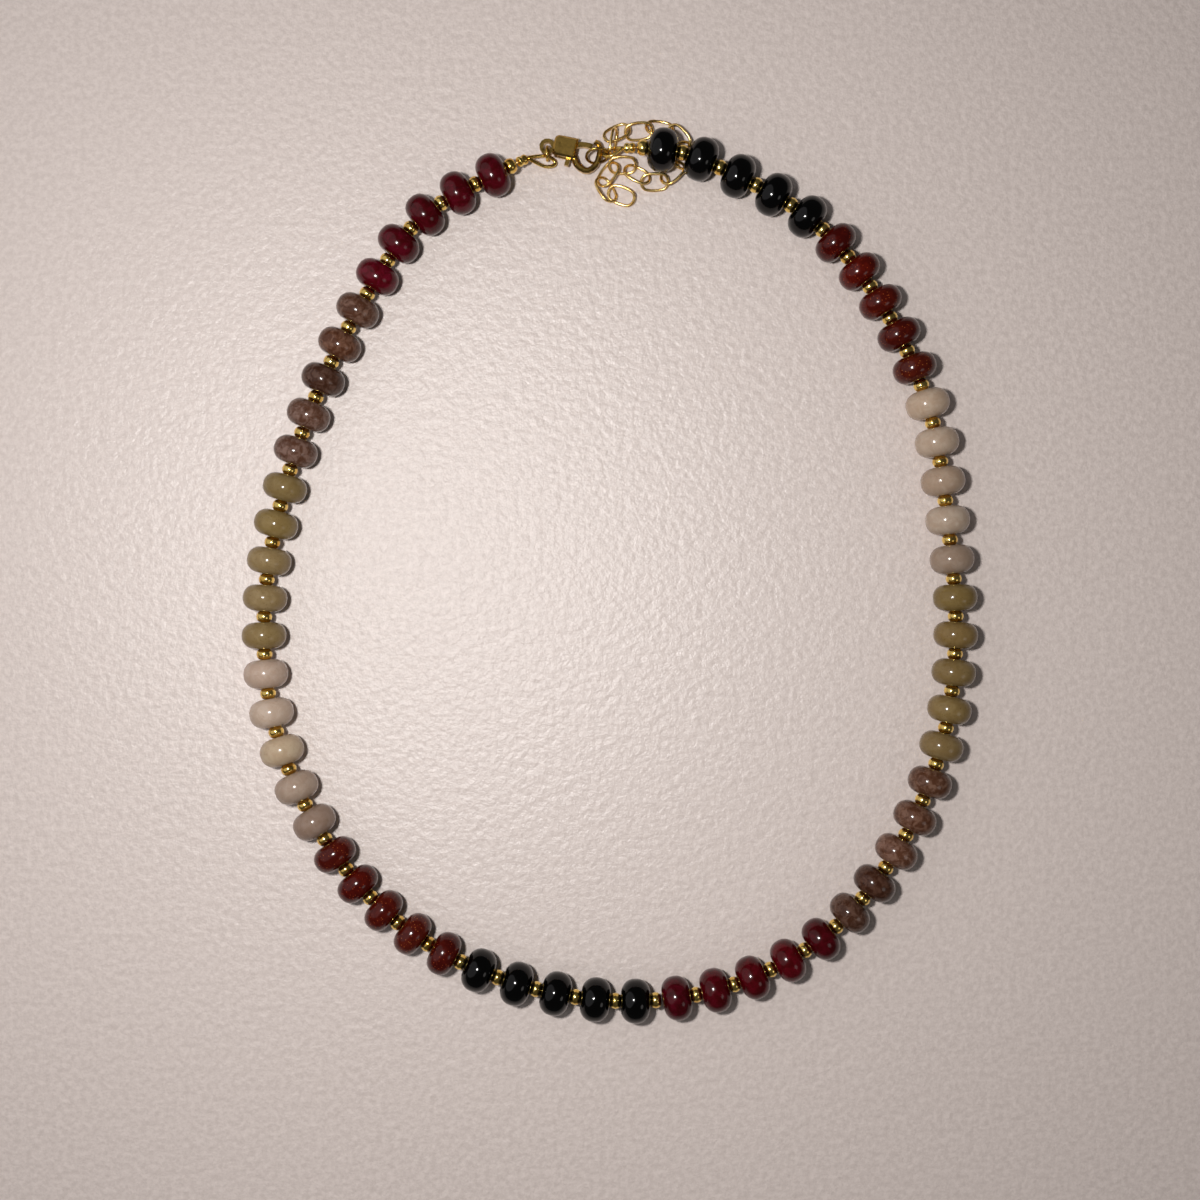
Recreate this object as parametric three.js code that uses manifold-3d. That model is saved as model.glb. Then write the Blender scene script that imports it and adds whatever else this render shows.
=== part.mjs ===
// A necklace of sixty polished stone rondelles with gold spacer beads between them. It lies
// on a flat surface as one closed loop, with its lobster clasp hooked into a ring of the
// other end and its extender chain trailing round the last stone.
// Millimetres, +Z up, the surface at z = 0. +Y runs from the bottom of the loop to the clasp.
import * as THREE from "three";
import { mergeVertices } from "three/addons/utils/BufferGeometryUtils.js";
import Module from "manifold-3d";

// Beads
const STONE_DIAMETER = 8.0;
const STONE_END_FACE_DROP = 1.7;
const STONE_SHOULDER_DROP = 0.4;
const SPACER_DIAMETER = 2.9;
const SPACER_LENGTH = 2.0;
const SPACER_NECK_DIAMETER = 1.6;
const BEAD_SIDES = 10;

// The same six stones in the same order make up each half of the string.
const STONE_RUNS = [
  { stone: "ruby", thickness: 5.15 },
  { stone: "mauve_brown", thickness: 5.0 },
  { stone: "olive", thickness: 4.8 },
  { stone: "cream", thickness: 5.15 },
  { stone: "red_brown", thickness: 4.75 },
  { stone: "black", thickness: 5.3 },
];
const STONES_PER_RUN = 5;
const HALVES_GAP = 0.3;

// Where the string lies, from the clasp down the left side, round and up the right side.
const STRING_ROUTE = [
  [-17.5, 74], [-33.5, 65], [-42.5, 53.5], [-52.5, 34.5], [-59.5, 14.5], [-63, -6],
  [-61.5, -27], [-53.5, -46.5], [-40.5, -62.5], [-23, -73], [-1.5, -78], [19.5, -76],
  [38.5, -66.5], [52, -50.5], [60, -31.5], [62.5, -11.5], [61, 9.5], [57.5, 30],
  [49, 48.5], [36, 64], [17, 74.5], [9, 76.5], [3.5, 77],
];

// Ends of the string: a crimp, then the wire loop that it holds
const CRIMP_LENGTH = 2.0;
const CRIMP_DIAMETER = 1.9;
const CRIMP_WAIST_DIAMETER = 1.5;
const CRIMP_SLOPE_DEG = 24;
const SEAT_GAP = 0.2;
const LOOP_WIRE = 0.5;
const LOOP_WIDTH = 2.5;
const LOOP_NECK_WIDTH = 1.2;
const LEFT_LOOP_END = [-10.3, 74.9, 0.8];
const LEFT_LOOP_ROLL_DEG = 0;
const RIGHT_LOOP_ROLL_DEG = 36;

// Jump rings: one stands in the eye of the clasp, one leans over the bar of the claw
const RING_WIRE = 0.5;
const LEFT_RING_DIAMETER = 3.0;
const RIGHT_RING_DIAMETER = 4.4;
const RIGHT_RING_LEAN_DEG = 62;
const RIGHT_RING_TURN_DEG = 19.6;
const RIGHT_RING_PLACE = [8.17, 0.26];

// Lobster clasp, lying on its side. Its own axes run along, from the eye to the far end of
// the claw, and across, from the claw to the lever. Its origin is the eye end of its body.
const CLASP_PLACE = [-10.7, 77.4];
const CLASP_HEADING_DEG = -12;
const CLASP_THICKNESS = 2.8;
const CLASP_CORNER = 0.35;
const BODY_LENGTH = 4.3;
const BODY_WIDTH = 3.7;
const BODY_OFFSET = 0.6;
const BODY_ROUNDING = 1.1;
const EYE_DIAMETER = 2.9;
const EYE_HOLE_DIAMETER = 1.5;
const EYE_THICKNESS = 1.0;
const EYE_OFFSET = 0.1;
const CLAW_THICKNESS = 1.6;
const CLAW_WIDTH = 1.15;
const CLAW_TIP_WIDTH = 0.85;
const LEVER_THICKNESS = 1.0;
const LEVER_WIDTH = 0.9;
const LEVER_HUB_DIAMETER = 1.9;
const LEVER_REACH = 4.0;
const LEVER_HEADING_DEG = 21;
const LEVER_CLEARANCE = 0.2;
const LEVER_PIN_DIAMETER = 0.8;
const LEVER_PIN_PLACE = [3.3, 0.3];
const LEVER_SWING_DEG = 25;
const THUMB_TAB_REACH = 2.9;
const THUMB_TAB_WIDTH = 0.8;
const THUMB_TAB_LEAN_DEG = 5.7;

// Extender chain of oval links
const LINK_LENGTH = 5.4;
const LINK_WIDTH = 3.6;
const LINK_WIRE = 0.45;
const LINK_SECTIONS = 12;
const WIRE_SIDES = 6;

// Where the middle of each link of the extender lies, from the wire loop to the free end.
// Neighbours roll opposite ways about their length, so that each passes through the next.
const CHAIN_START = [0.2, 75.6];
const CHAIN_LINKS = [
  { x: 0.36, y: 78.54, rollDeg: 74 },
  { x: 0.98, y: 80.42, rollDeg: -27 },
  { x: 5, y: 80.68, rollDeg: 29 },
  { x: 8.82, y: 81.3, rollDeg: -27 },
  { x: 12.36, y: 79.59, rollDeg: 33 },
  { x: 13.29, y: 76.39, rollDeg: -14 },
  { x: 11.24, y: 73.05, rollDeg: 27 },
  { x: 7.92, y: 71.39, rollDeg: -28 },
  { x: 4.7, y: 72.82, rollDeg: 28 },
  { x: 2.02, y: 74.48, rollDeg: -30 },
  { x: -0.64, y: 72.81, rollDeg: 30 },
  { x: -1, y: 70.01, rollDeg: -32 },
  { x: 1.8, y: 68.94, rollDeg: 24 },
];

// Colours and finishes
const GOLD = { color: 0xd9a63c, roughness: 0.18, metalness: 1 };
const STONE = { color: 0x6b1f2e, roughness: 0.12, metalness: 0 };

const wasm = await Module();
wasm.setup();

const radians = THREE.MathUtils.degToRad;
const DOWN = new THREE.Vector3(0, 0, -1);
const stoneRadius = STONE_DIAMETER / 2;
const necklace = new THREE.Group();

function addPiece(name, geometry, finish) {
  const piece = new THREE.Mesh(geometry, new THREE.MeshStandardMaterial(finish));
  piece.name = name;
  necklace.add(piece);
  return piece;
}

// A closed mesh as a solid that can be joined or cut.
function solidOf(geometry) {
  const bare = geometry.clone();
  bare.deleteAttribute("normal");
  bare.deleteAttribute("uv");
  const merged = mergeVertices(bare, 1e-4);
  const vertProperties = new Float32Array(merged.attributes.position.array);
  const triVerts = new Uint32Array(merged.index.array);
  return new wasm.Manifold(new wasm.Mesh({ numProp: 3, vertProperties, triVerts }));
}

function geometryOf(solid) {
  const { vertProperties, triVerts } = solid.getMesh();
  const geometry = new THREE.BufferGeometry();
  geometry.setAttribute("position", new THREE.BufferAttribute(vertProperties, 3));
  geometry.setIndex(new THREE.BufferAttribute(triVerts, 1));
  geometry.computeVertexNormals();
  return geometry;
}

// The string: beads as rigid turned shapes, each square to the route at its own middle.
const route = new THREE.CatmullRomCurve3(
  STRING_ROUTE.map(([x, y]) => new THREE.Vector3(x, y, stoneRadius)),
  false,
  "catmullrom",
  0.5,
);
route.arcLengthDivisions = 2000;
const routeLength = route.getLength();

function frameAt(station) {
  const share = THREE.MathUtils.clamp(station / routeLength, 0, 1);
  const tangent = route.getTangentAt(share).normalize();
  const side = new THREE.Vector3().crossVectors(tangent, DOWN);
  return { centre: route.getPointAt(share), tangent, side };
}

// Half of a turned outline, from one end face to the middle, mirrored to the other face.
function mirrored(rings) {
  const back = rings.filter((ring) => ring.along < 0).reverse();
  return [...rings, ...back.map((ring) => ({ along: -ring.along, radius: ring.radius }))];
}

function stoneOutline(thickness) {
  return mirrored([
    { along: -thickness / 2, radius: stoneRadius - STONE_END_FACE_DROP },
    { along: -thickness * 0.3, radius: stoneRadius - STONE_SHOULDER_DROP },
    { along: 0, radius: stoneRadius },
  ]);
}

function spacerOutline() {
  return mirrored([
    { along: -SPACER_LENGTH / 2, radius: SPACER_NECK_DIAMETER / 2 },
    { along: 0, radius: SPACER_DIAMETER / 2 },
  ]);
}

const stoneThicknesses = [...STONE_RUNS, ...STONE_RUNS].flatMap(({ thickness }) =>
  Array(STONES_PER_RUN).fill(thickness),
);

// Every bead of the string with its station, the way along the route to its middle.
function placeBeads() {
  const halves = [[], []];
  let station = 0;
  const place = (half, outline, length) => {
    halves[half].push({ outline, station: station + length / 2 });
    station += length;
  };
  place(0, spacerOutline(), SPACER_LENGTH);
  stoneThicknesses.forEach((thickness, index) => {
    const half = index < stoneThicknesses.length / 2 ? 0 : 1;
    if (index === stoneThicknesses.length / 2) station += HALVES_GAP;
    place(half, stoneOutline(thickness), thickness);
    place(half, spacerOutline(), SPACER_LENGTH);
  });
  return { halves, stringLength: station };
}

// One body turned round the route. Each ring of the outline follows its own bead.
function turnedString(beads) {
  const rings = beads.flatMap(({ outline, station }) =>
    outline.map(({ along, radius }) => ({ bead: station, along, radius })),
  );
  const first = rings[0];
  const last = rings[rings.length - 1];
  const profile = [{ ...first, radius: 0 }, ...rings, { ...last, radius: 0 }];
  const points = profile.map((ring) => new THREE.Vector2(ring.radius, ring.bead + ring.along));
  const geometry = new THREE.LatheGeometry(points, BEAD_SIDES);
  const position = geometry.attributes.position;
  const frames = profile.map((ring) => frameAt(ring.bead));
  const moved = new THREE.Vector3();
  for (let i = 0; i < position.count; i++) {
    const ring = i % profile.length;
    const { centre, tangent, side } = frames[ring];
    moved
      .copy(centre)
      .addScaledVector(tangent, profile[ring].along)
      .addScaledVector(side, position.getX(i))
      .addScaledVector(DOWN, position.getZ(i));
    position.setXYZ(i, moved.x, moved.y, moved.z);
  }
  return geometry;
}

const { halves, stringLength } = placeBeads();
addPiece("string_left", turnedString(halves[0]), STONE);
addPiece("string_right", turnedString(halves[1]), STONE);

// A closed loop of round wire that follows a flat closed outline, in the XY plane.
function wireLoop(outline, wire) {
  const sections = Math.round(LINK_SECTIONS);
  const sides = Math.round(WIRE_SIDES);
  const geometry = new THREE.TorusGeometry(1, wire / 2, sides, sections);
  const position = geometry.attributes.position;
  const perRing = sections + 1;
  const step = 1e-3;
  for (let i = 0; i < position.count; i++) {
    const turn = (i % perRing) / sections;
    const around = (Math.floor(i / perRing) / sides) * 2 * Math.PI;
    const centre = outline(turn);
    const along = outline(turn + step).sub(outline(turn - step)).normalize();
    const out = (Math.cos(around) * wire) / 2;
    const lift = (Math.sin(around) * wire) / 2;
    position.setXYZ(i, centre.x + along.y * out, centre.y - along.x * out, lift);
  }
  return geometry;
}

// An oval whose length lies along X, measured over the middle of its wire.
const oval = (length, width) => (turn) => {
  const angle = turn * 2 * Math.PI;
  const stretch = (length - width) / 2;
  const x = (Math.cos(angle) * width) / 2;
  const share = THREE.MathUtils.clamp(Math.cos(angle) * 2, -1, 1);
  return new THREE.Vector2(x + stretch * share, (Math.sin(angle) * width) / 2);
};

// A teardrop that runs from its narrow neck at the origin along X to its round end.
const teardrop = (length, width, neck) => (turn) => {
  const angle = turn * 2 * Math.PI;
  const share = (1 - Math.cos(angle)) / 2;
  const across = THREE.MathUtils.lerp(neck, width, Math.min(1, share * 1.6));
  return new THREE.Vector2(share * length, (-Math.sin(angle) * across) / 2);
};

// Turns a piece so that its X runs along a slope, with a roll about that slope.
function lay(piece, { place, heading, slope = 0, roll = 0 }) {
  piece.rotation.order = "ZYX";
  piece.rotation.set(roll, slope, heading);
  piece.position.copy(place);
}

function crimpGeometry() {
  const outer = [
    [0, CRIMP_WAIST_DIAMETER / 2],
    [CRIMP_LENGTH * 0.15, CRIMP_DIAMETER / 2],
    [CRIMP_LENGTH * 0.35, CRIMP_DIAMETER / 2],
    [CRIMP_LENGTH * 0.5, CRIMP_WAIST_DIAMETER / 2],
    [CRIMP_LENGTH * 0.65, CRIMP_DIAMETER / 2],
    [CRIMP_LENGTH * 0.85, CRIMP_DIAMETER / 2],
    [CRIMP_LENGTH, CRIMP_WAIST_DIAMETER / 2],
  ];
  const profile = [[0, 0], ...outer, [CRIMP_LENGTH, 0]];
  const points = profile.map(([along, radius]) => new THREE.Vector2(radius, along));
  return new THREE.LatheGeometry(points, BEAD_SIDES).rotateZ(-Math.PI / 2);
}

// A flat bar that follows a curve, as wide as its list of widths says, with round ends.
function barShape(curve, widths, steps = 10) {
  const sides = [[], []];
  for (let i = 0; i <= steps; i++) {
    const share = i / steps;
    const point = curve.getPoint(share);
    const tangent = curve.getTangent(share);
    const half = THREE.MathUtils.lerp(widths[0], widths[1], share) / 2;
    sides[0].push(new THREE.Vector2(point.x - tangent.y * half, point.y + tangent.x * half));
    sides[1].unshift(new THREE.Vector2(point.x + tangent.y * half, point.y - tangent.x * half));
  }
  return new THREE.Shape([...sides[0], ...sides[1]]);
}

// A flat shape as a solid of the given thickness about the middle height of the clasp.
function slab(shape, thickness, corner = 0) {
  const geometry = new THREE.ExtrudeGeometry(shape, {
    depth: thickness - 2 * corner,
    bevelEnabled: corner > 0,
    bevelThickness: corner,
    bevelSize: corner,
    bevelOffset: -corner,
    bevelSegments: 1,
    curveSegments: 6,
  });
  return geometry.translate(0, 0, (CLASP_THICKNESS - thickness) / 2 + corner);
}

function roundedBox(along, across, length, width, radius) {
  const shape = new THREE.Shape();
  shape.moveTo(along + radius, across);
  shape.lineTo(along + length, across);
  shape.lineTo(along + length, across + width);
  shape.lineTo(along + radius, across + width);
  shape.quadraticCurveTo(along, across + width, along, across + width - radius);
  shape.lineTo(along, across + radius);
  shape.quadraticCurveTo(along, across, along + radius, across);
  return shape;
}

function discShape(along, across, diameter) {
  return new THREE.Shape().absarc(along, across, diameter / 2, 0, 2 * Math.PI, false);
}

const clasp = new THREE.Group();
clasp.position.set(CLASP_PLACE[0], CLASP_PLACE[1], 0);
clasp.rotation.z = radians(CLASP_HEADING_DEG);
necklace.add(clasp);
const pin = new THREE.Vector2(...LEVER_PIN_PLACE);
const bodyLow = BODY_OFFSET - BODY_WIDTH / 2;
const bodyHigh = BODY_OFFSET + BODY_WIDTH / 2;
const leverHeading = radians(LEVER_HEADING_DEG);
const leverEnd = new THREE.Vector2(LEVER_REACH, 0)
  .rotateAround(new THREE.Vector2(), leverHeading)
  .add(pin);
const claw = {
  right: pin.x + LEVER_REACH + LEVER_WIDTH / 2 + LEVER_CLEARANCE + CLAW_WIDTH / 2,
  top: leverEnd.y + LEVER_WIDTH / 2 + LEVER_CLEARANCE + CLAW_TIP_WIDTH / 2,
};
const slotHeight = LEVER_THICKNESS + 2 * LEVER_CLEARANCE;

// The fixed half: body block with its eye, and the claw that bends round to meet the lever.
function claspBodySolid() {
  const block = roundedBox(0, bodyLow, BODY_LENGTH, BODY_WIDTH, BODY_ROUNDING);
  const clawLine = new THREE.CatmullRomCurve3([
    new THREE.Vector3(BODY_LENGTH - 0.3, bodyLow + CLAW_WIDTH * 0.45, 0),
    new THREE.Vector3(BODY_LENGTH + 0.7, bodyLow - 0.9, 0),
    new THREE.Vector3(BODY_LENGTH + 2.6, bodyLow - 1.5, 0),
    new THREE.Vector3(claw.right - 0.3, bodyLow - 0.2, 0),
    new THREE.Vector3(claw.right, pin.y + 0.4, 0),
    new THREE.Vector3(claw.right - 0.35, claw.top - 0.5, 0),
    new THREE.Vector3(leverEnd.x + 0.2, claw.top, 0),
  ]);
  const clawShape = barShape(clawLine, [CLAW_WIDTH, CLAW_TIP_WIDTH], 14);
  const eyeAlong = -(EYE_DIAMETER / 2) + CLASP_CORNER;
  const eye = discShape(eyeAlong, EYE_OFFSET, EYE_DIAMETER);
  eye.holes.push(discShape(eyeAlong, EYE_OFFSET, EYE_HOLE_DIAMETER));
  const slotReach = LEVER_HUB_DIAMETER / 2 + LEVER_CLEARANCE;
  const slotStart = pin.x - slotReach;
  const slotLength = BODY_LENGTH - slotStart;
  const slotLow = pin.y - slotReach;
  const gateSlot = roundedBox(slotStart, slotLow, slotLength, BODY_WIDTH, CLASP_CORNER);
  const tabHalf = THUMB_TAB_WIDTH / 2 + LEVER_CLEARANCE;
  const tabSwing = THUMB_TAB_REACH * Math.tan(radians(LEVER_SWING_DEG + THUMB_TAB_LEAN_DEG));
  const tabSlot = new THREE.Shape([
    new THREE.Vector2(slotStart, pin.y),
    new THREE.Vector2(slotStart - tabSwing, pin.y - THUMB_TAB_REACH),
    new THREE.Vector2(pin.x + tabHalf, pin.y - THUMB_TAB_REACH),
    new THREE.Vector2(pin.x + tabHalf, pin.y),
  ]);
  const pinDisc = discShape(pin.x, pin.y, LEVER_PIN_DIAMETER);
  return solidOf(slab(block, CLASP_THICKNESS, CLASP_CORNER))
    .add(solidOf(slab(clawShape, CLAW_THICKNESS, CLASP_CORNER)))
    .subtract(solidOf(slab(gateSlot, slotHeight)))
    .subtract(solidOf(slab(tabSlot, slotHeight)))
    .add(solidOf(slab(pinDisc, slotHeight + 0.2)))
    .add(solidOf(slab(eye, EYE_THICKNESS)));
}

// The sprung lever: a hub on the pin, a gate that closes the claw and a tab for the thumb.
function claspLeverSolid() {
  const hub = discShape(pin.x, pin.y, LEVER_HUB_DIAMETER);
  const gateLine = new THREE.QuadraticBezierCurve(
    pin.clone(),
    new THREE.Vector2(pin.x + LEVER_REACH * 0.2, leverEnd.y + 0.5),
    leverEnd,
  );
  const tabLean = THUMB_TAB_REACH * Math.tan(radians(THUMB_TAB_LEAN_DEG));
  const tabEnd = new THREE.Vector2(pin.x - tabLean, pin.y - THUMB_TAB_REACH);
  const tabLine = new THREE.LineCurve(pin.clone(), tabEnd);
  const bore = discShape(pin.x, pin.y, LEVER_PIN_DIAMETER + 2 * LEVER_CLEARANCE);
  return solidOf(slab(hub, LEVER_THICKNESS))
    .add(solidOf(slab(barShape(gateLine, [LEVER_WIDTH, LEVER_WIDTH]), LEVER_THICKNESS)))
    .add(solidOf(slab(barShape(tabLine, [THUMB_TAB_WIDTH, THUMB_TAB_WIDTH], 1), LEVER_THICKNESS)))
    .subtract(solidOf(slab(bore, CLASP_THICKNESS)));
}

const claspBody = addPiece("clasp_body", geometryOf(claspBodySolid()), GOLD);
const claspLever = addPiece("clasp_lever", geometryOf(claspLeverSolid()), GOLD);
clasp.add(claspBody, claspLever);

function ringGeometry(diameter) {
  return wireLoop(oval(diameter - RING_WIRE, diameter - RING_WIRE), RING_WIRE);
}

// The ring in the claw leans over its bar; the ring at the eye stands in it.
clasp.updateMatrixWorld(true);
const claspPoint = (along, across, height) =>
  clasp.localToWorld(new THREE.Vector3(along, across, height));
const lean = radians(RIGHT_RING_LEAN_DEG);
const rightRingRadius = (RIGHT_RING_DIAMETER - RING_WIRE) / 2;
const rightRingHeight = rightRingRadius * Math.sin(lean) + RING_WIRE / 2;
const rightRingPlace = claspPoint(...RIGHT_RING_PLACE, rightRingHeight);
const rightRingHeading = clasp.rotation.z + radians(RIGHT_RING_TURN_DEG);
const ringRight = addPiece("ring_right", ringGeometry(RIGHT_RING_DIAMETER), GOLD);
lay(ringRight, { place: rightRingPlace, heading: rightRingHeading, roll: lean });

const leftRingRadius = (LEFT_RING_DIAMETER - RING_WIRE) / 2;
const eyeMiddle = claspPoint(-(EYE_DIAMETER / 2) + CLASP_CORNER, EYE_OFFSET, CLASP_THICKNESS / 2);
const leftRingPlace = eyeMiddle.clone().add(new THREE.Vector3(0, -leftRingRadius, 0));
leftRingPlace.z = leftRingRadius + RING_WIRE / 2;
const ringLeft = addPiece("ring_left", ringGeometry(LEFT_RING_DIAMETER), GOLD);
lay(ringLeft, { place: leftRingPlace, heading: radians(-90), roll: radians(90) });

// One end of the string: its crimp, then the wire loop that reaches to what it holds.
function addEnd(side, station, outward, loopEnd, loopRollDeg) {
  const { centre, tangent } = frameAt(station);
  const heading = Math.atan2(tangent.y * outward, tangent.x * outward);
  const slope = radians(CRIMP_SLOPE_DEG);
  const direction = new THREE.Vector3(
    Math.cos(heading) * Math.cos(slope),
    Math.sin(heading) * Math.cos(slope),
    -Math.sin(slope),
  );
  const tiltRoom = (CRIMP_WAIST_DIAMETER / 2) * Math.sin(slope);
  const crimpStart = centre.clone().addScaledVector(direction, SEAT_GAP + tiltRoom);
  const crimp = addPiece("crimp_" + side, crimpGeometry(), GOLD);
  lay(crimp, { place: crimpStart, heading, slope });
  const loopAway = CRIMP_LENGTH + SEAT_GAP + LOOP_WIRE / 2;
  const loopStart = crimpStart.clone().addScaledVector(direction, loopAway);
  const run = loopEnd.clone().sub(loopStart);
  const outline = teardrop(run.length(), LOOP_WIDTH - LOOP_WIRE, LOOP_NECK_WIDTH - LOOP_WIRE);
  const loop = addPiece("wire_loop_" + side, wireLoop(outline, LOOP_WIRE), GOLD);
  lay(loop, {
    place: loopStart,
    heading: Math.atan2(run.y, run.x),
    slope: -Math.asin(run.z / run.length()),
    roll: radians(loopRollDeg),
  });
}

const loopInRing = rightRingRadius - (RING_WIRE + LOOP_WIRE) / 2 - SEAT_GAP;
const rightRingLine = new THREE.Vector3(Math.cos(rightRingHeading), Math.sin(rightRingHeading), 0);
const rightLoopEnd = rightRingPlace.clone().addScaledVector(rightRingLine, loopInRing);
addEnd("left", 0, -1, new THREE.Vector3(...LEFT_LOOP_END), LEFT_LOOP_ROLL_DEG);
addEnd("right", stringLength, 1, rightLoopEnd, RIGHT_LOOP_ROLL_DEG);

// The extender chain: each link is threaded through the next.
function addChain() {
  const geometry = wireLoop(oval(LINK_LENGTH - LINK_WIRE, LINK_WIDTH - LINK_WIRE), LINK_WIRE);
  CHAIN_LINKS.forEach((link, index) => {
    const [startX, startY] = CHAIN_START;
    const before = CHAIN_LINKS[index - 1] ?? { x: startX, y: startY };
    const after = CHAIN_LINKS[index + 1] ?? link;
    const heading = Math.atan2(after.y - before.y, after.x - before.x);
    const roll = radians(link.rollDeg);
    const halfHeight = ((LINK_WIDTH - LINK_WIRE) / 2) * Math.abs(Math.sin(roll)) + LINK_WIRE / 2;
    const name = "extender_link_" + String(index + 1).padStart(2, "0");
    const place = new THREE.Vector3(link.x, link.y, halfHeight);
    lay(addPiece(name, geometry, GOLD), { place, heading, roll });
  });
}

addChain();

export default necklace;
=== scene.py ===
"""A beaded necklace of polished stone rondelles, laid in a closed loop and seen from above."""

import bisect
import logging
import math
import random
from dataclasses import dataclass, field
from enum import Enum
from typing import Callable

import bmesh
import bpy
from mathutils import Euler, Matrix, Vector
from mathutils.geometry import interpolate_bezier


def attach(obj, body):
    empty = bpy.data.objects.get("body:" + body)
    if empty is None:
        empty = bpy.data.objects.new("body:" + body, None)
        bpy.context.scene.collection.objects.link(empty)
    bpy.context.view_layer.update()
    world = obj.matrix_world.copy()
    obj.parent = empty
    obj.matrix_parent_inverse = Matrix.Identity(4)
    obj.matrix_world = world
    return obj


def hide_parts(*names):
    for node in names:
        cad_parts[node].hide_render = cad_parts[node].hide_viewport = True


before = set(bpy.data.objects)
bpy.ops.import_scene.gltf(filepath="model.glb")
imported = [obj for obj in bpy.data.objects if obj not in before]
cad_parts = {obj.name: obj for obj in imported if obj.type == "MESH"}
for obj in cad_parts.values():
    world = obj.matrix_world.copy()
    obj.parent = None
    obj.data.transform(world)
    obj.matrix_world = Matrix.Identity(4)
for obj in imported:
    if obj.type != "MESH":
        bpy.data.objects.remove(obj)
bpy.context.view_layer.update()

LOG = logging.getLogger("necklace")
MM = 0.001
WELD_DISTANCE_MM = 1e-4
NECKLACE_BODY = "necklace"

Colour = tuple[float, float, float, float]

# Beads, in millimetres
STONE_DIAMETER = 8.0
SPACER_DIAMETER = 2.9
SPACER_LENGTH = 2.0
SPACER_FACE_RADIUS = 0.8
SPACER_HOLE_RADIUS = 0.45
SPACER_CURVE = [(0.86, 1.08), (0.5, 1.33)]
SPACER_SIDES = 22
STONES_PER_RUN = 5
HALVES_GAP = 0.3
STRING_ROUTE = [
    (-17.5, 74), (-33.5, 65), (-42.5, 53.5), (-52.5, 34.5), (-59.5, 14.5), (-63, -6),
    (-61.5, -27), (-53.5, -46.5), (-40.5, -62.5), (-23, -73), (-1.5, -78), (19.5, -76),
    (38.5, -66.5), (52, -50.5), (60, -31.5), (62.5, -11.5), (61, 9.5), (57.5, 30),
    (49, 48.5), (36, 64), (17, 74.5), (9, 76.5), (3.5, 77),
]

# Ends of the string, jump rings and clasp, in millimetres and degrees
CRIMP_LENGTH = 2.0
CRIMP_WAIST_DIAMETER = 1.5
CRIMP_SLOPE_DEG = 24
CRIMP_SIDES = 26
CRIMP_PROFILE = [
    (0.0, 0.0), (0.0, 0.55), (0.06, 0.72), (0.2, 0.9), (0.45, 0.95), (0.75, 0.9), (1.0, 0.74),
    (1.25, 0.9), (1.55, 0.95), (1.8, 0.9), (1.94, 0.72), (2.0, 0.55), (2.0, 0.0),
]
END_WIRE_DIAMETER = 0.5
END_WIRE_SIDES = 14
END_WIRE_SINK = 0.4
END_WIRE_OVERLAP = 0.2
SEAT_GAP = 0.2
LOOP_WIRE = 0.5
GUARDED_WIRE = 0.74
GUARDED_POINTS = 84
GUARD_RIB_DEPTH = 0.26
LOOP_WIDTH = 2.5
LOOP_NECK_WIDTH = 1.2
LOOP_FLARE = 1.6
LEFT_LOOP_END = (-10.3, 74.9, 0.8)
RIGHT_LOOP_ROLL_DEG = 36
OVAL_END_SHARPNESS = 2
RING_WIRE = 0.5
RING_POINTS = 48
LEFT_RING_DIAMETER = 3.0
RIGHT_RING_DIAMETER = 4.4
RIGHT_RING_LEAN_DEG = 62
RIGHT_RING_TURN_DEG = 19.6
RIGHT_RING_PLACE = (8.17, 0.26)
CLASP_PLACE = (-10.7, 77.4)
CLASP_HEADING_DEG = -12
EYE_MIDDLE = (-1.1, 0.1)
CLASP_EDGE = 0.2
CLASP_EDGE_SEGMENTS = 3
CLASP_EDGE_ANGLE_DEG = 35

# Extender chain, in millimetres and degrees
LINK_LENGTH = 5.4
LINK_WIDTH = 3.6
LINK_WIRE = 0.45
LINK_WIRE_SHOWN = 0.53
CHAIN_START = (0.2, 75.6)
CHAIN_LINKS = [
    (0.36, 78.54, 74), (0.98, 80.42, -27), (5, 80.68, 29), (8.82, 81.3, -27),
    (12.36, 79.59, 33), (13.29, 76.39, -14), (11.24, 73.05, 27), (7.92, 71.39, -28),
    (4.7, 72.82, 28), (2.02, 74.48, -30), (-0.64, 72.81, 30), (-1, 70.01, -32),
    (1.8, 68.94, 24),
]


def srgb(red: int, green: int, blue: int) -> Colour:
    """A display colour in 0 to 255 as a linear colour with full alpha."""
    def linear(value: float) -> float:
        """One display channel in 0 to 1 as a linear one."""
        return value / 12.92 if value <= 0.04045 else ((value + 0.055) / 1.055) ** 2.4

    return (linear(red / 255), linear(green / 255), linear(blue / 255), 1.0)


class Stone(Enum):
    """The six stones in their order along each half of the string."""

    RUBY = "ruby"
    MAUVE_BROWN = "mauve_brown"
    OLIVE = "olive"
    CREAM = "cream"
    RED_BROWN = "red_brown"
    BLACK = "black"


@dataclass(frozen=True)
class StoneFinish:
    """How one stone looks: its body colour, clouds, dark veins and small flecks."""

    name: str
    thickness: float
    body: Colour
    cloud: Colour
    vein: Colour
    fleck: Colour
    cloud_amount: float = 0.5
    vein_amount: float = 0.3
    fleck_amount: float = 0.0
    cloud_scale: float = 260.0
    roughness: float = 0.1
    translucency: float = 0.0
    tints: tuple[tuple[float, float, float], ...] = ((1.0, 1.0, 1.0),)


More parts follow.
